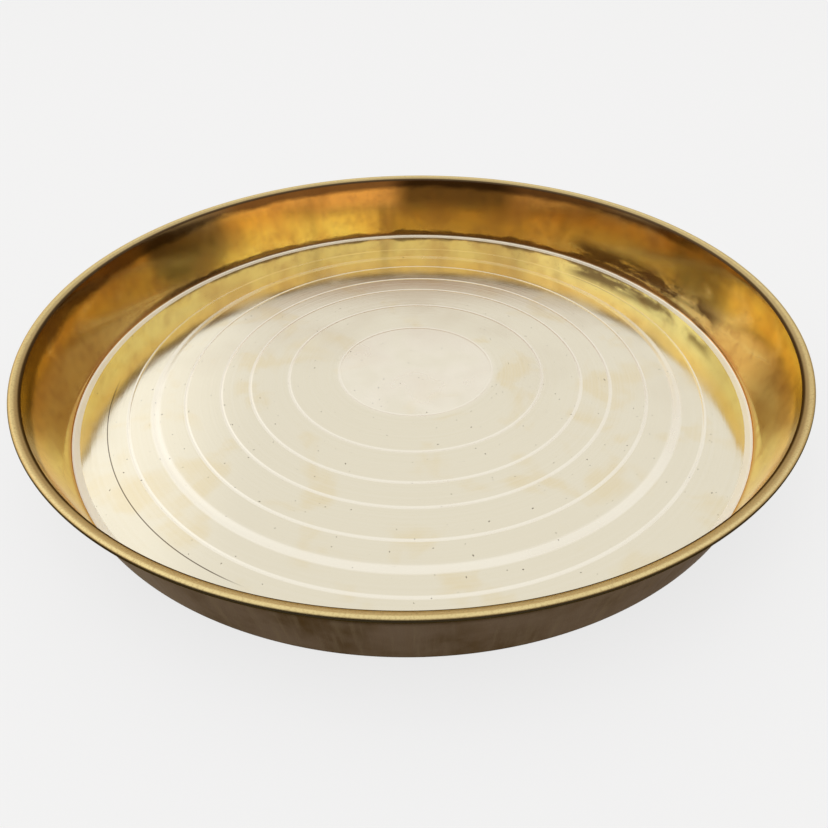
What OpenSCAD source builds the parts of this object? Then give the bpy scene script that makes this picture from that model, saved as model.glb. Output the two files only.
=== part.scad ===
// Thali plate: a shallow round dish spun from one sheet of brass, with lines
// turned into its floor, a steep wall that leans outwards, and a lip that is
// turned out from the wall, gently crowned, and rolled under over a thin wire.
//
// Units are millimetres. +Z is up, and the origin is the centre of the flat
// base, at the level on which the plate stands. The whole dish is one profile
// in the half-plane (radius, height), turned round the Z axis:
//
//                               crown ___
//                                    /   (o)  roll, round rim_wire
//                             knee  |     '
//                                   |
//                                  /  wall, leans out by wall_lean
//        line      band           /
//   ______v__________v___________/   corner
//              floor

/* [Plate] */
// Outside diameter over the rolled lip
plate_d = 305; // [285:1:360]
// Height over all, from the table to the top of the lip
plate_h = 34; // [22:0.5:60]
// Thickness of the brass sheet
sheet_t = 0.6; // [0.5:0.05:0.8]
// Lean of the wall, in degrees from upright
wall_lean = 12.25; // [2:0.25:22]
// Inside radius of the corner between the floor and the wall
corner_r = 1.5; // [1:0.25:8]

/* [Lip] */
// Radius of the knee's upper face, where the wall turns out into the lip
knee_r = 1; // [0.8:0.1:1.6]
// Radius of the lip's gently crowned upper face, between knee and roll
crown_r = 5; // [3.5:0.25:8]
// Angle from the top at which the knee hands over to the crown, in degrees
crown_start = 47; // [40:1:60]
// Angle from the top at which the crown hands over to the roll, in degrees
crown_end = 15; // [8:1:30]
// Diameter of the stiffening wire
wire_d = 0.7; // [0.5:0.1:1]
// Clearance all round the wire, inside the roll
wire_play = 0.1; // [0.05:0.01:0.2]
// Gap between the two butted ends of the wire
wire_end_gap = 1.5; // [0.5:0.25:5]
// Gap between the sheet's tucked edge and the underside of the crown
tuck_gap = 0.3; // [0.1:0.05:0.6]

/* [Turned floor] */
// Diameter of the line round the bright disc at the centre
disc_d = 68; // [50:0.5:90]
// Diameter of the first narrow line, counted from the centre
line_1_d = 112; // [100:0.5:125]
// Diameter of the second narrow line
line_2_d = 145.5; // [135:0.5:157]
// Diameter of the third narrow line
line_3_d = 170; // [163:0.5:180]
// Diameter of the fourth narrow line
line_4_d = 199.5; // [188:0.5:208]
// Diameter of the broad band, at its middle
band_d = 223.5; // [216:0.5:232]
// Diameter of the fifth narrow line, outside the band
line_5_d = 244.5; // [240:0.5:250]
// How far the lines' centre lies off the plate's axis, to the right
lines_off = 1.7; // [0:0.1:3]
// Width of a narrow line
line_w = 1.2; // [0.6:0.1:2.4]
// Depth of a narrow line
line_depth = 0.05; // [0.02:0.01:0.2]
// Width of the broad band
band_w = 3.4; // [2:0.1:5]
// Depth of the broad band
band_depth = 0.05; // [0.02:0.01:0.2]

/* [Hidden] */

// Roundness of the turned forms, of the small circles in the profile, and of
// the circles that leave the grooves
turn_fn = 240;
arc_fn = 96;
groove_fn = 360;

// The roll: the sheet lies round the wire and its clearance
roll_in_r = wire_d / 2 + wire_play;
roll_out_r = roll_in_r + sheet_t;
roll = [plate_d / 2 - roll_out_r, plate_h - roll_out_r];

// Angles are counted anticlockwise from the outward direction. The crown's upper
// face touches the roll's outer circle at the first of these two, and the knee's
// upper circle at the second. Where two circles touch, both centres and the
// point of touch lie on one line.
crown_to_roll = 90 + crown_end;
knee_to_crown = 90 + crown_start;
centre_step = crown_r - roll_out_r;
crown = roll - centre_step * [cos(crown_to_roll), sin(crown_to_roll)];
knee = crown + (crown_r - knee_r) * [cos(knee_to_crown), sin(knee_to_crown)];

// The wall runs into the knee without a break, on the side that faces the
// middle of the plate
wall_side = 180 - wall_lean;

// The roll turns clockwise from the crown's end: down the outside and back in
// underneath, until its outer corner is tuck_gap short of the crown's
// underside. This is the angle left open, by the rule of cosines.
tuck_r = crown_r - sheet_t - tuck_gap;
tuck_open = acos((pow(tuck_r, 2) - pow(centre_step, 2) - pow(roll_out_r, 2))
    / (2 * centre_step * roll_out_r));

// The corner's arc touches the floor and the wall. Its centre lies corner_r
// above the floor, and corner_r in from the wall's inner face, which itself
// touches the knee's upper circle.
corner_z = sheet_t + corner_r;
corner_x = knee[0] - (knee_r + corner_r) / cos(wall_lean)
    - (knee[1] - corner_z) * tan(wall_lean);
corner = [corner_x, corner_z];

// How far one stretch of the profile laps into the next
lap = sheet_t / 4;

// Height to which a cutter runs on above the face that it cuts
over = 1;

// A point at a distance and an angle from a centre, in the profile's plane
function polar(centre, r, angle) = centre + r * [cos(angle), sin(angle)];

// Radius of the arc through both edges of a groove and its lowest point
function groove_r(w, depth) = (w * w / 4 + depth * depth) / (2 * depth);

// Turns a profile round the plate's axis
module turn(angle = 360) {
    rotate_extrude(angle = angle, $fn = turn_fn) children();
}

// A curved stretch of the sheet: part of a flat ring, from one angle to
// another, counted anticlockwise. The wedge that cuts it out has its far side
// in short steps, well outside the ring, so it clears the ring at any angle.
// At both ends it has a small nose in the middle of the sheet's thickness,
// which laps into the next stretch, so that the two are one piece. Where the
// first end is the sheet's own edge, lap_from is 0 and that end is plain.
module bend(centre, r_in, from, to, lap_from = lap) {
    steps = 8;
    r_mid = r_in + sheet_t / 2;
    r_out = r_in + sheet_t;
    nose_from = polar(polar(centre, r_mid, from), lap_from, from - 90);
    nose_to = polar(polar(centre, r_mid, to), lap, to + 90);
    far_side = [for (i = [0:steps]) polar(centre, 2 * r_out, from + (to - from) * i / steps)];
    intersection() {
        difference() {
            translate(centre) circle(r = r_out, $fn = arc_fn);
            translate(centre) circle(r = r_in, $fn = arc_fn);
        }
        polygon(concat(
            [centre, polar(centre, r_in, from), nose_from, polar(centre, r_out, from)],
            far_side,
            [polar(centre, r_out, to), nose_to, polar(centre, r_in, to)]
        ));
    }
}

// The straight wall, between the corner's end and the start of the knee
module wall_profile() {
    polygon([
        polar(corner, corner_r, -wall_lean),
        polar(corner, corner_r + sheet_t, -wall_lean),
        polar(knee, knee_r - sheet_t, wall_side),
        polar(knee, knee_r, wall_side),
    ]);
}

// The whole sheet in section: floor, corner, wall, knee, crown and roll
module sheet_profile() {
    square([corner_x, sheet_t]);
    bend(corner, corner_r, -90, -wall_lean);
    wall_profile();
    bend(knee, knee_r - sheet_t, knee_to_crown, wall_side);
    bend(crown, crown_r - sheet_t, crown_to_roll, knee_to_crown);
    bend(roll, roll_in_r, crown_to_roll - 360 + tuck_open, crown_to_roll, 0);
}

// A cutter for one turned line in the floor: a ring whose round underside
// leaves a groove of the given width and depth
module line_cutter(d, w, depth) {
    r = groove_r(w, depth);
    bottom = sheet_t - depth;
    translate([lines_off, 0, 0]) turn() intersection() {
        translate([d / 2, bottom + r]) circle(r = r, $fn = groove_fn);
        translate([(d - w) / 2, bottom]) square([w, depth + over]);
    }
}

// The spun brass sheet
module dish() {
    color([0.80, 0.64, 0.33])
    difference() {
        turn() sheet_profile();
        for (d = [disc_d, line_1_d, line_2_d, line_3_d, line_4_d, line_5_d])
            line_cutter(d, line_w, line_depth);
        line_cutter(band_d, band_w, band_depth);
    }
}

// The wire inside the roll: one length bent round, with its ends butted
module rim_wire() {
    gap_angle = 360 * wire_end_gap / (PI * 2 * roll[0]);
    color([0.55, 0.55, 0.53])
    rotate([0, 0, 90 + gap_angle / 2])
        turn(360 - gap_angle)
            translate(roll) circle(d = wire_d, $fn = arc_fn);
}

dish();
rim_wire();
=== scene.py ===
"""Thali plate: a spun brass dish with turned rings, and the studio it stands in.

Everything is in metres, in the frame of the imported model: +Z is up, and the
origin is the centre of the flat base, at the level on which the plate stands.
"""

import math

import bpy
import numpy as np
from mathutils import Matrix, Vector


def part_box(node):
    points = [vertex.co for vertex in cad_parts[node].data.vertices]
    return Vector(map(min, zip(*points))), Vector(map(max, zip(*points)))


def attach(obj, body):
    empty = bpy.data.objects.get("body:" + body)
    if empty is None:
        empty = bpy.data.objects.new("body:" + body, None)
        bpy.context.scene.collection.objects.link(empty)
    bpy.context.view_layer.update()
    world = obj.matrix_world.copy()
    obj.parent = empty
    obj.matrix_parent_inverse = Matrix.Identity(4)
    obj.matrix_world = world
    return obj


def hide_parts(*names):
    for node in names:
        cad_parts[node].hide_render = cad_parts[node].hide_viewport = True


bl_info = {
    "name": "Thali plate",
    "version": (1, 0, 0),
    "blender": (4, 5, 0),
    "location": "3D View > Sidebar > Thali",
    "description": "Spins a brass thali plate, gives it its finishes and sets a studio round it",
    "category": "Object",
}

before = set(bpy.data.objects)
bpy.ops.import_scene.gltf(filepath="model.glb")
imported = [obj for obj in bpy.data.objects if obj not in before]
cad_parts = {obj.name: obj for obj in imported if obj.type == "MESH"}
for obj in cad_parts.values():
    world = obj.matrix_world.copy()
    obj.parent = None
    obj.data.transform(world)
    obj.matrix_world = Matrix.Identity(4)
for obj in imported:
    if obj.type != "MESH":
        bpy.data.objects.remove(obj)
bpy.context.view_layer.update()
DISH_LOW, DISH_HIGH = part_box("dish")
DISH_ACROSS = min(DISH_HIGH.x - DISH_LOW.x, DISH_HIGH.y - DISH_LOW.y)

MM = 0.001

# Points round the dish, and round the ground and the skirt
DISH_STEPS = 480
STAGE_STEPS = 96

# Radii of the plain rings of points in the floor's face, inside and outside its
# turned lines, and in the base
INNER_RINGS = np.linspace(4, 28, 4) * MM
OUTER_RINGS = np.array([127.0, 131.5, 136.0]) * MM
BASE_RINGS = np.array([132.0, 110.0, 80.0, 45.0, 15.0]) * MM

# How far beyond a turned line the floor has its next ring of points
GUARD = 0.15 * MM

# The floor's rings are shifted to the lines' centre, and between these two radii
# the shift fades out
SHIFT_FADE = (125.0 * MM, 137.5 * MM)

# Waves left in the wall, each with its share of the ripple's height, its number in
# one turn, its phase, and how far it twists from foot to top
WAVES = (
    (0.90, 3, 0.4, 0.5), (0.60, 7, 2.1, -1.0), (0.35, 13, 4.4, 1.5),
    (0.22, 22, 1.2, -2.0), (0.12, 37, 3.0, 2.5),
)

# An edge that is sharper than this keeps a crease in its shading
CREASE = math.radians(50)

# Rings of the ground within its edge, and its level, just under the base
GROUND_RINGS = (0.2, 0.6, 2.0)
GROUND_LEVEL = -0.05 * MM

# The skirt is the zone of a sphere between these elevations, in degrees, made of
# SKIRT_ROWS rings. It turns clear between the two heights of SKIRT_TOP, and at the
# left by SKIRT_DROP lower down. The height of a direction is always the sine of its
# elevation, as seen from the plate.
SKIRT_RISE = (-1.0, 32.0)
SKIRT_ROWS = 12
SKIRT_TOP = (0.462, 0.482)
SKIRT_DROP = 0.070

# Directions from the plate to the middles of the stage's lighter and darker parts
LEFT_WAY = (-0.974, 0.225, 0.0)
LIT_WAY = (-0.921, 0.391, 0.0)
RIGHT_WAY = (0.999, 0.035, 0.0)
NEAR_WAY = (-0.05, -0.999, 0.0)
GAP_WAY = (0.643, -0.766, 0.0)
CORE_WAY = (-0.292, -0.956, 0.0)
DIM_WAY = (-0.500, -0.866, 0.0)

WHITE = (1.0, 1.0, 1.0)

# Zones of the sheet, in the order of its material slots
FLOOR, WALL, LIP, OUTSIDE = range(4)


# ---------------------------------------------------------------- settings


def length(name, description, default):
    """A length in metres, which the sidebar shows in the scene's unit."""
    return bpy.props.FloatProperty(
        name=name, description=description, default=default, min=0, precision=5,
        unit="LENGTH",
    )


def place(name, description, default):
    """A place in the scene."""
    return bpy.props.FloatVectorProperty(
        name=name, description=description, default=default, size=3, precision=5,
        unit="LENGTH",
    )


def degrees(name, description, default):
    """An angle, given here in degrees and kept in radians, as Blender does."""
    return bpy.props.FloatProperty(
        name=name, description=description, default=math.radians(default),
        subtype="ANGLE",
    )


def turn(name, description, default):
    """A turn about X, Y and Z, given here in degrees."""
    return bpy.props.FloatVectorProperty(
        name=name, description=description, size=3, subtype="EULER",
        default=tuple(math.radians(angle) for angle in default),
    )


def share(name, description, default, top=1.0):
    """A number without a unit, such as a roughness."""
    return bpy.props.FloatProperty(
        name=name, description=description, default=default, min=0, max=top,
    )


def colour(name, description, default):
    """A linear colour."""
    return bpy.props.FloatVectorProperty(
        name=name, description=description, default=default, size=3, min=0, max=1,
        subtype="COLOR",
    )


class ThaliSizes(bpy.types.PropertyGroup):
    """Sizes of the spun dish, the same as its solid's."""

    across: length("Diameter", "Outside diameter over the rolled lip", DISH_ACROSS)
    height: length("Height", "From the table to the top of the lip", DISH_HIGH.z)
    sheet: length("Sheet", "Thickness of the brass sheet", 0.6 * MM)
    lean: degrees("Wall lean", "Lean of the wall from upright", 12.25)
    corner: length("Corner", "Inside radius between the floor and the wall", 1.5 * MM)
    knee: length("Knee", "Upper radius where the wall turns into the lip", 1 * MM)
    crown: length("Crown", "Radius of the lip's gently crowned top", 5 * MM)
    crown_start: degrees("Crown's start", "Angle from the top where it begins", 47)
    crown_end: degrees("Crown's end", "Angle from the top where the roll begins", 15)
    roll_hole: length("Roll's hole", "Inside radius of the roll", 0.45 * MM)
    tuck_gap: length("Tuck gap", "From the tucked edge to the crown", 0.3 * MM)
    disc: length("Centre disc", "Diameter of the line round the disc", 68 * MM)
    lines: bpy.props.FloatVectorProperty(
        name="Lines", description="Diameters of the other narrow lines", size=5, min=0,
        default=tuple(d * MM for d in (112, 145.5, 170, 199.5, 244.5)),
        unit="LENGTH", precision=5,
    )
    band: length("Band", "Diameter of the broad band", 223.5 * MM)
    band_width: length("Band's width", "Width of the broad band", 3.4 * MM)
    line_width: length("Line's width", "Width of a narrow line", 1.2 * MM)
    line_depth: length("Line's depth", "Depth of the turned lines", 0.05 * MM)
    off_centre: length("Off centre", "How far the lines lie to the right", 1.7 * MM)
    ripple: length("Ripple", "Height of the waves left in the wall", 0.04 * MM)


class ThaliFinish(bpy.types.PropertyGroup):
    """Colours and polish of the brass and the wire."""

    # Real dark brown in the floor's specks and scratch, and painted shade in the lip's crease
    tarnish_and_shade: colour("Tarnish", "Brown that lies in pits and corners", (0.07, 0.042, 0.022))

    # Partly painted highlight: this cream is paler than the wall's brass, for the white light
    # overhead mirrored in the floor
    floor: colour("Floor", "Polished brass of the floor", (0.76, 0.70, 0.55))
    floor_rough: share("Floor's roughness", "Roughness of the floor", 0.10)
    floor_lines: colour("Turned lines", "Brass of the lines and disc", (0.90, 0.85, 0.73))
    floor_rings: colour("Lathe rings", "Fine rings in the floor", (0.82, 0.77, 0.66))
    floor_stains: colour("Stains", "Pale gold stains in the floor", (0.74, 0.62, 0.38))
    # Painted highlight: a pale ring at the wall's foot, for the light overhead mirrored in the
    # corner
    floor_edge_highlight: colour("Floor's edge", "Worn ring at the wall's foot", (0.88, 0.84, 0.73))

    wall: colour("Wall", "Deeper brass of the inner wall", (0.86, 0.71, 0.27))
    wall_rough: share("Wall's roughness", "Roughness of the inner wall", 0.08)
    wall_brushed: share("Wall's brushing", "How far the polish smears reflections", 0.65)
    # Painted reflections: this and the next two make the wall yellower at the right, more orange
    # at the back and more orange higher up
    wall_right_reflection: colour("Wall's right", "Yellower brass at the right", (0.86, 0.80, 0.38))
    wall_back_reflection: colour("Wall's back", "Orange brass at the back", (0.88, 0.58, 0.15))
    wall_high_reflection: colour("Wall's top", "Orange brass higher up", (0.88, 0.52, 0.12))
    wall_clouds: colour("Wall's clouds", "Broad brown clouds", (0.58, 0.34, 0.11))
    wall_mottle: colour("Wall's mottling", "Small brown mottling", (0.46, 0.27, 0.11))
    wall_marks: colour("Wall's marks", "Pale polishing marks", (0.88, 0.72, 0.36))
    wall_foot: colour("Wall's foot", "Reddish line at the foot", (0.62, 0.33, 0.14))
    # Partly dark patina at the wall's foot, and partly painted shade along its top and painted
    # dark reflections in its streaks and patch
    wall_patina_and_shade: colour("Wall's tarnish", "Dark tarnish of the wall", (0.13, 0.075, 0.035))
    wall_glint: colour("Wall's glint", "Tint of its gloss at low angles", (1.0, 0.86, 0.52))

    lip: colour("Lip", "Satin brass of the lip", (0.76, 0.61, 0.29))
    lip_rough: share("Lip's roughness", "Roughness of the lip", 0.32)
    lip_specks: colour("Lip's specks", "Specks from handling", (0.46, 0.35, 0.17))
    lip_clouds: colour("Lip's clouds", "Browner clouds", (0.66, 0.50, 0.23))
    # Painted shade on the lip's inner side, towards the wall
    lip_inner_shade: colour("Lip's inner side", "Brown next to the wall", (0.38, 0.27, 0.13))
    # Painted shade on the roll's outer edge and underside
    lip_edge_shade: colour("Lip's edge", "Dark outer edge", (0.020, 0.014, 0.009))
    lip_glint: colour("Lip's glint", "Tint of its gloss at low angles", (0.50, 0.42, 0.28))

    # Partly painted shade: the outside's dull brown is darkened as if it mirrored a dark table
    # below
    outside: colour("Outside", "Dull brass of the outside", (0.16, 0.118, 0.082))
    outside_rough: share("Outside's roughness", "Roughness of the outside", 0.48)
    outside_clouds: colour("Outside's clouds", "Darker clouds", (0.085, 0.056, 0.030))
    outside_streaks: colour("Streaks", "Lighter streaks up the outside", (0.20, 0.15, 0.09))
    # Painted light on the outside's left side
    outside_left_light: colour("Outside's left", "Lighter brass at the left", (0.34, 0.27, 0.17))
    # Painted shadow at the foot, underneath and under the lip
    outside_shadow: colour("Dirt", "Dirt at foot and lip", (0.035, 0.022, 0.012))
    outside_glint: colour("Outside's glint", "Tint of its gloss", (0.48, 0.42, 0.37))

    wire: colour("Wire", "Drawn steel of the hidden wire", (0.55, 0.55, 0.53))
    wire_rust: colour("Rust", "Trace of rust on the wire", (0.36, 0.24, 0.16))


class ThaliStage(bpy.types.PropertyGroup):
    """Ground, light, skirt and camera."""

    ground: colour("Ground", "Colour of the pale ground", (0.93, 0.93, 0.93))
    ground_radius: length("Ground's radius", "Radius of the ground", 9.0)
    screen: share("Screen", "Brightness of the ground as a plain screen", 0.88)
    ground_light: share("Ground's light", "How far the ground is that screen", 0.86)
    tent: share("Tent", "Brightness of the white world overhead", 1.0, 4)
    tent_left: share("Tent's left", "How much brighter it is at the left", 0.25)
    horizon: share("Horizon", "Brightness of the world at the horizon", 0.90, 4)
    skirt: share("Skirt", "Brightness of the warm skirt", 0.46, 4)
    skirt_lit: share("Lit skirt", "How much brighter the skirt is at the left", 0.65, 4)
    skirt_right: share("Right skirt", "How much brighter it is at the right", 0.20, 4)
    skirt_radius: length("Skirt's radius", "Distance of the skirt from the plate", 8.0)
    skirt_tint: colour("Skirt's tint", "Tint of the skirt", (1.0, 0.67, 0.44))
    near: share("Near hem", "Brightness of the skirt's hem on the near side", 0.45, 4)
    near_tint: colour("Near tint", "Tint of the near hem", (1.0, 0.62, 0.36))
    gap: share("Gap", "How much brighter the near hem is at its gap", 0.42, 4)
    core: share("Core", "Brightness of the skirt's darkest part", 0.12, 4)
    box_light: share("Softbox", "Power of the overhead softbox in watts", 3, 200)
    box_side: length("Softbox's side", "Length of the softbox's sides", 1.0)
    box_place: place("Softbox's place", "Where the softbox hangs", (-0.25, -0.1, 1.4))
    box_turn: turn("Softbox's turn", "The softbox's turn about X, Y and Z", (4, -10, 0))
    lens: bpy.props.FloatProperty(
        name="Lens", description="Focal length in millimetres", default=28.785, min=1,
    )
    camera_place: place("Camera's place", "Where it stands", (0.0, -0.244079, 0.170600))
    camera_turn: turn("Camera's turn", "About X, Y and Z", (51.1415, 0.6697, -0.7284))


# ------------------------------------------------------------------ shapes


def polar(centre, radius, angle):
    """The point, or points, at a distance and an angle from a centre: the centre,
    plus the distance times the angle's cosine and sine."""
    return np.stack(
        [centre[0] + radius * np.cos(angle), centre[1] + radius * np.sin(angle)], -1
    )


def arc(centre, radius, start, end, count):
    """count points evenly spaced in angle along a circle, both ends included."""
    return polar(centre, radius, np.linspace(start, end, count))


def line(start, end, count):
    """count points evenly spaced along a straight line, without its first point:
    at share t of the way, 1 - t times the start plus t times the end."""
    t = np.linspace(0, 1, count + 1)[1:, None]
    return (1 - t) * np.asarray(start) + t * np.asarray(end)


def level(radii, height):
    """Points at the given radii, all at one height."""
    return np.stack([radii, np.full(len(radii), height)], -1)


def groove(radius, width, depth, count):
    """A turned line in the floor: depth times cos squared across its width, which
    leaves soft shoulders, with one flat point beyond each, so that the floor
    between two lines stays flat in its shading. Returns radii and depths there."""
    u = np.linspace(-0.5, 0.5, count)
    guard = 0.5 + GUARD / width
    u = np.concatenate([[-guard], u, [guard]])
    return radius + u * width, depth * np.cos(np.pi * np.clip(u, -0.5, 0.5)) ** 2


class Section:
    """Named places in the dish's section, worked out from its sizes. Where the roll's,
    crown's and knee's circles touch, both centres and the point of touch lie on one
    line, so each centre is the next one's plus the difference of the two radii, at
    the angle of the touch. The angle of the tucked edge comes from the rule of cosines
    in the triangle of crown, roll and edge. The corner's centre lies its radius above
    the floor, and in from the wall's face, which leans out and touches the knee."""

    def __init__(self, s):
        self.s = s
        self.roll_out = s.roll_hole + s.sheet
        self.roll = np.array([s.across / 2 - self.roll_out, s.height - self.roll_out])
        self.to_roll = math.radians(90) + s.crown_end
        self.to_crown = math.radians(90) + s.crown_start
        self.wall_side = math.pi - s.lean
        step = s.crown - self.roll_out
        self.crown = polar(self.roll, -step, self.to_roll)
        self.knee = polar(self.crown, s.crown - s.knee, self.to_crown)
        tuck = s.crown - s.sheet - s.tuck_gap
        self.tuck_end = self.to_roll - 2 * math.pi + math.acos(
            (tuck**2 - step**2 - self.roll_out**2) / (2 * step * self.roll_out)
        )
        corner_z = s.sheet + s.corner
        corner_x = (
            self.knee[0]
            - (s.knee + s.corner) / math.cos(s.lean)
            - (self.knee[1] - corner_z) * math.tan(s.lean)
        )
        self.corner = np.array([corner_x, corner_z])

    def floor_top(self):
        """The floor's upper face, from near the axis to the corner, with its lines."""
        s = self.s
        lines = [(d / 2, s.line_width, 7) for d in (s.disc, *s.lines)]
        lines = sorted([*lines, (s.band / 2, s.band_width, 11)])
        face = [level(INNER_RINGS, s.sheet)]
        for radius, width, count in lines:
            r, depth = groove(radius, width, s.line_depth, count)
            face.append(np.stack([r, s.sheet - depth], -1))
        return np.concatenate([*face, level(OUTER_RINGS, s.sheet)])

    def inner_wall(self):
        """Corner and wall, up to where the knee begins."""
        s = self.s
        corner = arc(self.corner, s.corner, math.radians(-90), -s.lean, 10)
        top = polar(self.knee, s.knee, self.wall_side)
        return corner, line(corner[-1], top, 15)[:-1]

    def lip(self):
        """Knee, crown and roll, clockwise over the top and under to the tucked edge."""
        s = self.s
        knee = arc(self.knee, s.knee, self.wall_side, self.to_crown, 7)
        crown = arc(self.crown, s.crown, self.to_crown, self.to_roll, 11)
        roll = arc(self.roll, self.roll_out, self.to_roll, self.tuck_end, 32)
        return np.concatenate([knee, crown[1:], roll[1:]])

    def under_side(self):
        """The hidden side of the sheet, from inside the roll down to the base."""
        s = self.s
        hole = arc(self.roll, s.roll_hole, self.tuck_end, self.to_roll, 16)
        crown = arc(self.crown, s.crown - s.sheet, self.to_roll, self.to_crown, 6)
        knee = arc(self.knee, s.knee - s.sheet, self.to_crown, self.wall_side, 5)
        corner = arc(self.corner, s.corner + s.sheet, -s.lean, math.radians(-90), 10)
        wall = line(knee[-1], corner[0], 12)[:-1]
        base = level(BASE_RINGS, 0.0)
        return np.concatenate([hole, crown[1:], knee[1:], wall, corner, base])

    def rows(self):
        """Every point of the section from the floor's middle round to the base's
        middle, with the zone of the strip that follows each point. The floor's zone
        runs halfway round the corner, and the lip's ends on the underside of the
        roll."""
        floor = self.floor_top()
        corner, wall = self.inner_wall()
        lip, under = self.lip(), self.under_side()
        points = np.concatenate([floor, corner, wall, lip, under])
        half, tucked = len(corner) // 2, 8
        counts = [len(floor) + half, len(corner) - half + len(wall), len(lip) - tucked]
        counts.append(len(points) - sum(counts))
        zones = np.repeat([FLOOR, WALL, LIP, OUTSIDE], counts)
        return points, zones


def angles(count):
    """Angles evenly spaced round a full turn."""
    return np.linspace(0, 2 * math.pi, count, endpoint=False)


def spin(section, count):
    """Turns the section round the axis, on a grid of (row, angle): x and y are the
    row's radius times the cosine and sine, and z is its height. Inside the floor
    the circles are shifted to the lines' centre, and the shift fades out before
    the corner. The wall has shallow waves: a sum of sines of the angle, which
    moves both faces of the sheet alike and fades to nothing at corner and lip."""
    s = section.s
    points, zones = section.rows()
    r, z = points[:, :1], points[:, 1:]
    t = angles(count)
    on_floor = (np.arange(len(r)) < len(section.floor_top()))[:, None]
    fade = np.clip((SHIFT_FADE[1] - r) / (SHIFT_FADE[1] - SHIFT_FADE[0]), 0, 1)
    shift = np.where(on_floor, fade, 0) * s.off_centre
    up = np.clip((z - section.corner[1]) / (section.knee[1] - section.corner[1]), 0, 1)
    waves = sum(a * np.sin(k * t + phase + twist * up) for a, k, phase, twist in WAVES)
    r = r + s.ripple * np.sin(math.pi * up) ** 2 * waves
    return np.stack([shift + r * np.cos(t), r * np.sin(t), z + 0 * t], -1), zones


def rings(radii, heights, count):
    """A grid of rings round the axis: x and y are a ring's radius times the cosine
    and sine of the angle, and z is its height."""
    r, z, t = np.reshape(radii, (-1, 1)), np.reshape(heights, (-1, 1)), angles(count)
    return np.stack([r * np.cos(t), r * np.sin(t), z + 0 * r * t], -1)


def ring_quads(rows, cols):
    """Quads between rows of a grid whose rows are rings: each corner's number is its
    row times the columns, plus its column, and the last column meets the first."""
    here = np.arange(cols)
    after = (here + 1) % cols
    low = (np.arange(rows - 1) * cols)[:, None]
    quads = [low + here, low + cols + here, low + cols + after, low + after]
    return np.stack(quads, -1).reshape(-1, 4)


def fan(middle, start, cols):
    """Triangles from a middle point, given by its number, to a ring that starts at
    the point numbered start: the middle, one point of the ring, and the next one."""
    here = np.arange(cols)
    return np.stack([np.full(cols, middle), start + here, start + (here + 1) % cols], -1)


def new_mesh(name, points, *faces):
    """A mesh from its points and one or more arrays of faces."""
    mesh = bpy.data.meshes.new(name)
    mesh.from_pydata(points.tolist(), [], sum((group.tolist() for group in faces), []))
    return mesh


def closed_mesh(name, grid, zones):
    """A closed mesh from a grid whose first and last rows are rings round the axis:
    quads between rows, and one triangle fan at each end. Faces point outwards."""
    rows, cols = grid.shape[:2]
    count = rows * cols
    middles = [[grid[0, :, 0].mean(), 0, grid[0, 0, 2]], [0, 0, grid[-1, 0, 2]]]
    mesh = new_mesh(
        name, np.concatenate([grid.reshape(-1, 3), middles]), ring_quads(rows, cols),
        fan(count, 0, cols), fan(count + 1, count - cols, cols)[:, ::-1],
    )
    slots = np.repeat([*zones[:-1], FLOOR, OUTSIDE], cols)
    mesh.polygons.foreach_set("material_index", slots.astype(np.int32))
    mesh.shade_smooth()
    mesh.set_sharp_from_angle(angle=CREASE)
    mesh.update()
    return mesh


def new_object(context, name, data):
    """A new object, linked to the scene."""
    thing = bpy.data.objects.new(name, data)
    context.scene.collection.objects.link(thing)
    return thing


# --------------------------------------------------------------- finishes


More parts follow.
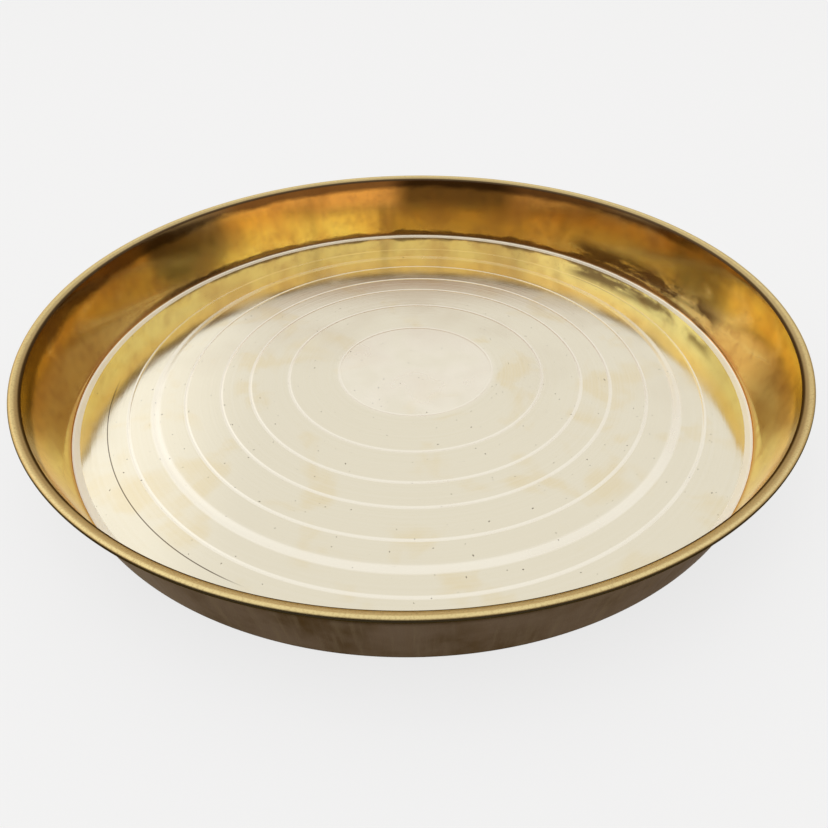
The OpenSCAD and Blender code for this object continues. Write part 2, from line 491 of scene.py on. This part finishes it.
class Nodes:
    """A short way to write a material's nodes: each call makes one node and gives
    back the socket that the next one reads."""

    def __init__(self, name, kind=bpy.data.materials):
        self.material = kind.new(name)
        self.material.use_nodes = True
        self.tree = self.material.node_tree
        if kind == bpy.data.worlds:
            self.shader = self.tree.nodes["Background"]
            return
        self.shader = self.tree.nodes["Principled BSDF"]
        self.place = self.add("ShaderNodeTexCoord").outputs["Object"]
        self.x, self.y, self.z = self.split(self.place)

    def add(self, kind, settings=None, **inputs):
        """One node, with its settings, and its inputs set or linked by name."""
        node = self.tree.nodes.new(kind)
        for key, value in (settings or {}).items():
            setattr(node, key, value)
        for key, value in inputs.items():
            self.put(node.inputs[key.replace("_", " ")], value)
        return node

    def put(self, socket, value):
        """Links a socket to another, or sets its value. A colour gets its alpha."""
        if isinstance(value, bpy.types.NodeSocket):
            self.tree.links.new(value, socket)
        elif socket.type == "RGBA":
            socket.default_value = (*value, 1.0)
        else:
            socket.default_value = value

    def set(self, **inputs):
        """Sets or links the shader's own inputs by name."""
        for key, value in inputs.items():
            self.put(self.shader.inputs[key.replace("_", " ")], value)

    def maths(self, kind, *values):
        """One Math node."""
        node = self.add("ShaderNodeMath", {"operation": kind})
        for socket, value in zip(node.inputs, values):
            self.put(socket, value)
        return node.outputs[0]

    def most(self, *values):
        """The greatest of some values."""
        best = values[0]
        for value in values[1:]:
            best = self.maths("MAXIMUM", best, value)
        return best

    def vectors(self, kind, *values, out="Vector", **inputs):
        """One Vector Math node."""
        node = self.add("ShaderNodeVectorMath", {"operation": kind}, **inputs)
        for socket, value in zip(node.inputs, values):
            self.put(socket, value)
        return node.outputs[out]

    def split(self, vector):
        """The three parts of a vector."""
        return self.add("ShaderNodeSeparateXYZ", Vector=vector).outputs

    def ramp(self, value, low, high, out_low=0.0, out_high=1.0):
        """Runs smoothly from out_low to out_high as value goes from low to high."""
        node = self.add(
            "ShaderNodeMapRange", {"interpolation_type": "SMOOTHSTEP"}, Value=value,
            From_Min=low, From_Max=high, To_Min=out_low, To_Max=out_high,
        )
        return node.outputs["Result"]

    def band(self, value, middle, half, soft):
        """1 where value is within half of the middle, and 0 outside, with soft edges."""
        away = self.maths("ABSOLUTE", self.maths("SUBTRACT", value, middle))
        return self.ramp(away, half, half + soft, 1.0, 0.0)

    def noise(self, scale, detail=2.0, rough=0.5, vector=None, distort=0.0):
        """Noise in space, with scale in cells per metre."""
        node = self.add(
            "ShaderNodeTexNoise", Vector=vector or self.place, Scale=scale,
            Detail=detail, Roughness=rough, Distortion=distort,
        )
        return node.outputs["Fac"]

    def ring_noise(self, radius, scale, detail):
        """Noise that changes with the radius alone, so it lies in rings."""
        node = self.add(
            "ShaderNodeTexNoise", {"noise_dimensions": "1D"}, W=radius, Scale=scale,
            Detail=detail,
        )
        return node.outputs["Fac"]

    def radius(self, off=0.0):
        """Distance from the axis, or from an axis that lies off to the right."""
        x = self.maths("SUBTRACT", self.x, off)
        flat = self.add("ShaderNodeCombineXYZ", X=x, Y=self.y).outputs[0]
        return self.vectors("LENGTH", flat, out="Value")

    def wall_way(self, around, up):
        """Coordinates for marks on the wall: the direction from the axis, which has
        length 1, times around, plus the height times up. Where around is the smaller,
        the marks run round the wall, and otherwise up it."""
        flat = self.add("ShaderNodeCombineXYZ", X=self.x, Y=self.y).outputs[0]
        flat = self.vectors("SCALE", self.vectors("NORMALIZE", flat), Scale=around)
        high = self.add("ShaderNodeCombineXYZ", Z=self.maths("MULTIPLY", self.z, up))
        return self.vectors("ADD", flat, high.outputs[0])

    def along(self, vector, way):
        """How much of a vector runs along a direction."""
        return self.vectors("DOT_PRODUCT", vector, way, out="Value")

    def mix(self, part, a, b):
        """Mixes two colours."""
        node = self.add("ShaderNodeMix", {"data_type": "RGBA", "clamp_factor": True})
        for index, value in ((0, part), (6, a), (7, b)):
            self.put(node.inputs[index], value)
        return node.outputs[2]

    def blend(self, part, a, b):
        """Mixes two numbers."""
        node = self.add("ShaderNodeMix", {"data_type": "FLOAT"})
        for index, value in ((0, part), (2, a), (3, b)):
            self.put(node.inputs[index], value)
        return node.outputs[0]

    def bump(self, height, strength, depth):
        """A Bump node, with its depth in metres."""
        node = self.add(
            "ShaderNodeBump", Height=height, Strength=strength, Distance=depth
        )
        return node.outputs["Normal"]

    def finish(self, base, rough, normal, metallic=1.0):
        """Joins the colour, roughness and normal to the shader."""
        self.set(Base_Color=base, Roughness=rough, Normal=normal, Metallic=metallic)
        return self.material

    def join(self, part, first, second):
        """Ends the material in a mix of two shader nodes."""
        both = self.add("ShaderNodeMixShader", Fac=part)
        for socket, node in zip(list(both.inputs)[1:], (first, second)):
            self.put(socket, node.outputs[0])
        out = self.tree.nodes["Material Output"]
        self.put(out.inputs["Surface"], both.outputs[0])
        return self.material


def floor_brass(s, f):
    """Polished floor, its pale cream partly painted highlight of the white light
    overhead: lathe rings, whiter turned lines and centre disc, pale gold stains, a few
    dark specks, one long circular scratch, and a pale, rougher and less metallic ring
    at the wall's foot, which is painted highlight of the light overhead in the corner."""
    n = Nodes("floor_brass")
    turned_r, r = n.radius(s.off_centre), n.radius()
    lathe = n.ring_noise(turned_r, 900.0, 3.0)
    stains = n.ramp(n.noise(34.0, 3.0, 0.55, distort=0.4), 0.52, 0.68, 0.0, 0.55)
    disc = n.band(turned_r, 0.0, s.disc / 2 - 2 * MM, 5 * MM)
    disc = n.maths("MULTIPLY", disc, n.ramp(n.noise(40.0), 0.35, 0.6, 0.3, 1.0))
    narrow = [n.band(turned_r, d / 2, 0.4 * MM, 0.6 * MM) for d in (s.disc, *s.lines)]
    turned = n.most(disc, *narrow, n.band(turned_r, s.band / 2, 1.2 * MM, 1.2 * MM))
    specks = n.ramp(n.noise(700.0, 1.0), 0.775, 0.80)
    scratch = n.band(r, 128.6 * MM, 0.12 * MM, 0.12 * MM)
    around = n.maths("ARCTAN2", n.y, n.x)
    scratch = n.maths("MULTIPLY", scratch, n.band(around, -2.55, 0.45, 0.12))
    dark = n.maths("MULTIPLY", n.most(specks, scratch), 0.85)
    # Painted highlight: a pale, rougher, less metallic ring where the floor turns into the wall,
    # for the light overhead mirrored in the corner
    edge = n.ramp(r, 138.6 * MM, 139.0 * MM)

    # The floor's pale cream is partly painted highlight of the white light overhead
    base = n.mix(stains, f.floor, f.floor_stains)
    base = n.mix(n.ramp(lathe, 0.35, 0.65, 0.0, 0.12), base, f.floor_rings)
    base = n.mix(n.maths("MULTIPLY", turned, 0.8), base, f.floor_lines)
    base = n.mix(dark, base, f.tarnish_and_shade)
    base = n.mix(edge, base, f.floor_edge_highlight)
    rough = n.maths("MULTIPLY_ADD", turned, 0.12, f.floor_rough)
    rough = n.maths("ADD", rough, n.ramp(n.noise(26.0, 4.0), 0.4, 0.7, 0.0, 0.08))
    rough = n.maths("MULTIPLY_ADD", edge, 0.35, rough)
    metallic = n.ramp(edge, 0.0, 1.0, 1.0, 0.35)
    return n.finish(base, rough, n.bump(lathe, 0.12, 0.05 * MM), metallic)


def wall_brass(f):
    """Inner wall: deeper brass, with painted reflections that make it yellower at the
    right and more orange at the back and higher up; polishing marks round the wall,
    brown clouds and mottling; dark patina at its foot; painted shade along its top
    under the lip; and painted dark reflections in streaks and in one patch at the back
    right. Its polish smears reflections up and down."""
    n = Nodes("wall_brass")
    marks = n.noise(1.0, 3.0, 0.6, n.wall_way(8.0, 1400.0))
    clouds = n.noise(38.0, 4.0, 0.6, distort=0.6)
    mottle = n.noise(130.0, 5.0, 0.7)
    # Painted reflections: yellower at the right, more orange at the back and more orange higher
    # up
    base = n.mix(n.ramp(n.x, 50 * MM, 110 * MM, 0.0, 0.8), f.wall, f.wall_right_reflection)
    base = n.mix(n.ramp(n.y, 60 * MM, 120 * MM, 0.0, 0.3), base, f.wall_back_reflection)
    base = n.mix(n.ramp(n.z, 13 * MM, 24 * MM, 0.0, 0.5), base, f.wall_high_reflection)
    base = n.mix(n.ramp(clouds, 0.44, 0.68, 0.0, 0.55), base, f.wall_clouds)
    base = n.mix(n.ramp(marks, 0.5, 0.8, 0.0, 0.2), base, f.wall_marks)
    base = n.mix(n.ramp(mottle, 0.45, 0.72, 0.0, 0.38), base, f.wall_mottle)
    base = n.mix(n.ramp(n.z, 2 * MM, 4 * MM, 0.6, 0.0), base, f.wall_foot)

    # The foot's dark patina, the painted shade along the top, and the painted dark
    # reflections in the streaks and the patch: the edges at foot and top are ragged by
    # noise, and the foot's and the streaks' fade away towards the front
    far = n.ramp(n.y, 20 * MM, 90 * MM)
    ragging = n.noise(1.0, 3.0, 0.55, n.wall_way(7.0, 150.0))
    foot = n.maths("MULTIPLY_ADD", ragging, 8 * MM, n.z)
    foot = n.maths("MULTIPLY", n.ramp(foot, 7.0 * MM, 8.6 * MM, 0.85, 0.0), far)
    # Painted shade: a dark band along the wall's top under the lip, deeper at the left and
    # weaker at the right
    top = n.maths("ADD", n.z, n.ramp(n.x, -100 * MM, -130 * MM, 0.0, 2.5 * MM))
    top = n.maths("MULTIPLY_ADD", ragging, 5 * MM, top)
    right = n.ramp(n.x, 130 * MM, 142 * MM, 1.0, 0.2)
    top = n.maths("MULTIPLY", n.ramp(top, 29.0 * MM, 32.5 * MM, 0.0, 0.88), right)
    # Painted dark reflections: streaks on the wall, fading towards the front
    streaks = n.noise(1.0, 3.0, 0.5, n.wall_way(7.0, 9.0))
    streaks = n.maths("MULTIPLY", n.ramp(streaks, 0.52, 0.74, 0.0, 0.3), far)
    # Painted dark reflection: a ragged patch low on the wall at the back right
    to_patch = n.maths("MULTIPLY_ADD", n.x, 0.88, n.maths("MULTIPLY", n.y, 0.475))
    patch = n.ramp(to_patch, 132 * MM, 137 * MM)
    patch = n.maths("MULTIPLY", patch, n.ramp(n.z, 8 * MM, 15 * MM, 0.9, 0.0))
    patch_grain = n.noise(1.0, 6.0, 0.65, n.wall_way(5.0, 130.0))
    patch = n.maths("MULTIPLY", patch, n.ramp(patch_grain, 0.39, 0.52))
    base = n.mix(n.most(foot, streaks, top, patch), base, f.wall_patina_and_shade)

    # The tangent runs round the wall, and the quarter turn smears reflections up it
    around = n.add("ShaderNodeTangent", {"direction_type": "RADIAL", "axis": "Z"})
    n.set(
        Specular_Tint=f.wall_glint, Anisotropic=f.wall_brushed,
        Anisotropic_Rotation=0.25, Tangent=around.outputs["Tangent"],
    )
    rough = n.maths("ADD", f.wall_rough, n.ramp(clouds, 0.4, 0.7, 0.0, 0.06))
    return n.finish(base, rough, n.bump(marks, 0.10, 0.05 * MM))


def lip_brass(f):
    """Lip: satin brass, speckled by handling, with painted shade that makes it browner
    towards the wall except at the front, painted shade in the crease where it meets
    the wall, and painted shade on its dark outer edge."""
    n = Nodes("lip_brass")
    specks = n.noise(1500.0, 3.0, 0.65)
    clouds = n.noise(60.0, 3.0)
    r = n.radius()
    # Painted shade: the lip's inner side made browner towards the wall, less so at the front
    inner = n.ramp(r, 149.9 * MM, 150.7 * MM, 0.6, 0.0)
    inner = n.maths("MULTIPLY", inner, n.ramp(n.y, -135 * MM, -90 * MM, 0.25, 1.0))
    # Painted shade: a dark line in the crease where the lip meets the wall
    crease = n.ramp(r, 149.0 * MM, 149.6 * MM, 0.97, 0.0)
    # Painted shade: the roll's outer edge and underside made nearly black, as if mirroring
    # shadowed ground
    edge = n.ramp(n.z, 33.45 * MM, 33.93 * MM, 0.97, 0.0)
    edge = n.maths("MULTIPLY", edge, n.ramp(r, 150.8 * MM, 151.4 * MM))
    base = n.mix(n.ramp(specks, 0.45, 0.7, 0.0, 0.45), f.lip, f.lip_specks)
    base = n.mix(n.ramp(clouds, 0.45, 0.75, 0.0, 0.3), base, f.lip_clouds)
    base = n.mix(inner, base, f.lip_inner_shade)
    base = n.mix(crease, base, f.tarnish_and_shade)
    base = n.mix(edge, base, f.lip_edge_shade)
    n.set(Specular_Tint=f.lip_glint)
    rough = n.maths("ADD", f.lip_rough, n.ramp(specks, 0.4, 0.7, 0.0, 0.15))
    return n.finish(base, rough, n.bump(specks, 0.25, 0.04 * MM))


def outside_brass(f):
    """Outside and underside: dull, browned brass, partly darkened as painted shade, with
    streaks up the wall, painted light that makes it lighter at the left, and painted
    shadow at the foot, underneath and under the lip."""
    n = Nodes("outside_brass")
    streaks = n.noise(1.0, 3.0, 0.6, n.wall_way(62.0, 30.0))
    clouds = n.noise(30.0, 4.0, 0.6)
    # Painted shadow: dark at the foot and underneath, where the plate meets the ground, and high
    # on the wall under the lip's overhang
    foot = n.ramp(n.z, 0.4 * MM, 2.6 * MM, 0.8, 0.0)
    under_lip_shadow = n.ramp(n.z, 23 * MM, 27 * MM, 0.0, 0.97)
    # The outside's dull brown is partly painted shade, darkened as if it mirrored a dark table
    # below
    base = n.mix(n.ramp(clouds, 0.4, 0.7), f.outside, f.outside_clouds)
    base = n.mix(n.ramp(streaks, 0.45, 0.75, 0.0, 0.5), base, f.outside_streaks)
    # Painted light: the outside made lighter at the left, where the light is brighter
    base = n.mix(n.ramp(n.x, -50 * MM, -120 * MM, 0.0, 0.6), base, f.outside_left_light)
    base = n.mix(n.most(foot, under_lip_shadow), base, f.outside_shadow)
    n.set(Specular_Tint=f.outside_glint)
    rough = n.maths("ADD", f.outside_rough, n.ramp(streaks, 0.3, 0.7, -0.06, 0.10))
    return n.finish(base, rough, n.bump(streaks, 0.25, 0.06 * MM))


def wire_steel(f):
    """Drawn steel wire, with fine marks and a trace of rust."""
    n = Nodes("rim_wire_steel")
    grain = n.noise(2200.0, 3.0)
    base = n.mix(n.ramp(n.noise(90.0, 3.0), 0.5, 0.75), f.wire, f.wire_rust)
    rough = n.ramp(grain, 0.3, 0.7, 0.32, 0.5)
    return n.finish(base, rough, n.bump(grain, 0.2, 0.02 * MM))


def ground_paper(st):
    """Pale, matt paper that keeps the plate's shadow. Seen by the camera, mirrored or
    seen through glass, it is for the most part a plain white screen."""
    n = Nodes("ground_paper")
    n.set(Base_Color=st.ground, Roughness=0.9, Specular_IOR_Level=0.0)
    rays = n.add("ShaderNodeLightPath").outputs
    seen = n.most(
        rays["Is Camera Ray"], rays["Is Glossy Ray"], rays["Is Transmission Ray"]
    )
    screen = n.add("ShaderNodeEmission", Color=WHITE, Strength=st.screen)
    return n.join(n.maths("MULTIPLY", seen, st.ground_light), n.shader, screen)


def tent(st):
    """The world: plain white all round, a little dimmer at the horizon and a little
    brighter high up at the left."""
    n = Nodes("tent", bpy.data.worlds)
    way = n.add("ShaderNodeTexCoord").outputs["Generated"]
    up = n.split(way)["Z"]
    left = n.along(way, LEFT_WAY)
    high = n.ramp(left, 0.38, 0.55, st.tent, st.tent * (1 + st.tent_left))
    n.set(Color=WHITE, Strength=n.blend(n.ramp(up, 0.20, 0.46), st.horizon, high))
    return n.material


def skirt_cloth(st):
    """Cloth that glows by the direction from the plate. Below, its hem is pale like the
    horizon, but on the near side it is dimmer and warm, with a brighter gap at the
    right and a dark core. Above the hem it is dim and warm all round, brighter at the
    left and right, with a dark part at the near left. At its top it turns clear."""
    n = Nodes("skirt_cloth")
    way = n.vectors("NORMALIZE", n.place)
    up = n.split(way)["Z"]
    drop = n.ramp(n.along(way, LEFT_WAY), 0.36, 0.68, 0.0, SKIRT_DROP)
    clear = n.ramp(n.maths("ADD", drop, up), *SKIRT_TOP)

    near = n.ramp(n.along(way, NEAR_WAY), 0.10, 0.45)
    gap = n.ramp(n.along(way, GAP_WAY), 0.55, 0.88, st.near, st.near + st.gap)
    hem = n.blend(n.ramp(n.along(way, CORE_WAY), 0.89, 0.96), gap, st.core)
    hem = n.blend(near, st.horizon, hem)
    hem_tint = n.mix(near, WHITE, st.near_tint)

    lit = n.ramp(n.along(way, LIT_WAY), 0.55, 0.85, 0.0, st.skirt_lit)
    right = n.ramp(n.along(way, RIGHT_WAY), 0.82, 0.94, 0.0, st.skirt_right)
    dim = n.ramp(n.along(way, DIM_WAY), 0.80, 0.87)
    dim = n.maths("MULTIPLY", dim, n.ramp(up, 0.235, 0.270))
    cloth = n.blend(dim, st.skirt, st.core)
    cloth = n.maths("ADD", n.maths("ADD", lit, right), cloth)

    over_hem = n.ramp(up, 0.12, 0.26)
    glow = n.add(
        "ShaderNodeEmission", Color=n.mix(over_hem, hem_tint, st.skirt_tint),
        Strength=n.blend(over_hem, hem, cloth),
    )
    return n.join(clear, glow, n.add("ShaderNodeBsdfTransparent"))


# -------------------------------------------------------------- operators


class THALI_OT_spin_dish(bpy.types.Operator):
    """Spin the dish from its section and give the brass its finishes"""

    bl_idname = "thali.spin_dish"
    bl_label = "Spin the dish"

    def execute(self, context):
        s, f = context.scene.thali_sizes, context.scene.thali_finish
        grid, zones = spin(Section(s), DISH_STEPS)
        dish = new_object(context, "dish_spun", closed_mesh("dish_spun", grid, zones))
        for brass in (floor_brass(s, f), wall_brass(f), lip_brass(f), outside_brass(f)):
            dish.data.materials.append(brass)
        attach(dish, "root")
        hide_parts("dish")
        return {"FINISHED"}


class THALI_OT_finish_wire(bpy.types.Operator):
    """Give the wire inside the lip its drawn-steel finish"""

    bl_idname = "thali.finish_wire"
    bl_label = "Finish the rim wire"

    def execute(self, context):
        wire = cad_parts["rim_wire"]
        wire.data.materials.clear()
        wire.data.materials.append(wire_steel(context.scene.thali_finish))
        return {"FINISHED"}


class THALI_OT_set_stage(bpy.types.Operator):
    """Lay the ground, light it softly, hang the skirt and stand the camera in front"""

    bl_idname = "thali.set_stage"
    bl_label = "Set the stage"

    def execute(self, context):
        st = context.scene.thali_stage
        self.lay_ground(context, st)
        self.light(context, st)
        self.hang_skirt(context, st)
        self.stand_camera(context, st)
        context.scene.view_settings.view_transform = "Standard"
        return {"FINISHED"}

    def lay_ground(self, context, st):
        """A flat disc: rings of growing radius round one middle point."""
        grid = rings((*GROUND_RINGS, st.ground_radius), GROUND_LEVEL, STAGE_STEPS)
        rows, cols = grid.shape[:2]
        mesh = new_mesh(
            "ground", np.concatenate([grid.reshape(-1, 3), [[0, 0, GROUND_LEVEL]]]),
            ring_quads(rows, cols), fan(rows * cols, 0, cols),
        )
        mesh.materials.append(ground_paper(st))
        ground = new_object(context, "ground", mesh)

    def light(self, context, st):
        """The white world, and one softbox overhead, which the metal doesn't mirror."""
        context.scene.world = tent(st)
        lamp = bpy.data.lights.new("softbox", "AREA")
        lamp.shape, lamp.size, lamp.energy = "SQUARE", st.box_side, st.box_light
        box = new_object(context, "softbox", lamp)
        box.location, box.rotation_euler = st.box_place, st.box_turn
        box.visible_glossy = False

    def hang_skirt(self, context, st):
        """A warm, dimmer skirt round the plate, out of the camera's view: a zone of a
        sphere, whose rings have the sphere's radius times the cosine of their
        elevation, at the height of the radius times its sine."""
        rise = np.radians(np.linspace(*SKIRT_RISE, SKIRT_ROWS))
        radii, heights = st.skirt_radius * np.cos(rise), st.skirt_radius * np.sin(rise)
        grid = rings(radii, heights, STAGE_STEPS)
        mesh = new_mesh("skirt", grid.reshape(-1, 3), ring_quads(*grid.shape[:2]))
        mesh.materials.append(skirt_cloth(st))
        skirt = new_object(context, "skirt", mesh)
        skirt.visible_camera = False

    def stand_camera(self, context, st):
        """The camera, at the place and turn found for the photograph's view."""
        data = bpy.data.cameras.new("camera")
        data.sensor_fit, data.sensor_width, data.lens = "AUTO", 36.0, st.lens
        data.clip_start, data.clip_end = 0.01, 50.0
        camera = new_object(context, "camera", data)
        camera.location, camera.rotation_euler = st.camera_place, st.camera_turn
        context.scene.camera = camera


class THALI_PT_sidebar(bpy.types.Panel):
    """The plate's sizes, finishes and operators"""

    bl_label = "Thali plate"
    bl_idname = "THALI_PT_sidebar"
    bl_space_type = "VIEW_3D"
    bl_region_type = "UI"
    bl_category = "Thali"

    def draw(self, context):
        for name in GROUPS:
            group, box = getattr(context.scene, name), self.layout.box()
            for key in group.bl_rna.properties.keys():
                if key not in ("rna_type", "name"):
                    box.prop(group, key)
        for step in STEPS:
            self.layout.operator(step.bl_idname)


GROUPS = {"thali_sizes": ThaliSizes, "thali_finish": ThaliFinish, "thali_stage": ThaliStage}
STEPS = (THALI_OT_spin_dish, THALI_OT_finish_wire, THALI_OT_set_stage)


def register():
    """Registers the classes, and hangs the settings on the scene."""
    for cls in (*GROUPS.values(), *STEPS, THALI_PT_sidebar):
        bpy.utils.register_class(cls)
    for name, group in GROUPS.items():
        setattr(bpy.types.Scene, name, bpy.props.PointerProperty(type=group))


def unregister():
    """Takes away what register() added."""
    for name in GROUPS:
        delattr(bpy.types.Scene, name)
    for cls in (THALI_PT_sidebar, *reversed(STEPS), *reversed(GROUPS.values())):
        bpy.utils.unregister_class(cls)


def main():
    """Registers the add-on and runs its operators in order."""
    register()
    bpy.ops.thali.spin_dish()
    bpy.ops.thali.finish_wire()
    bpy.ops.thali.set_stage()


if __name__ == "__main__":
    main()
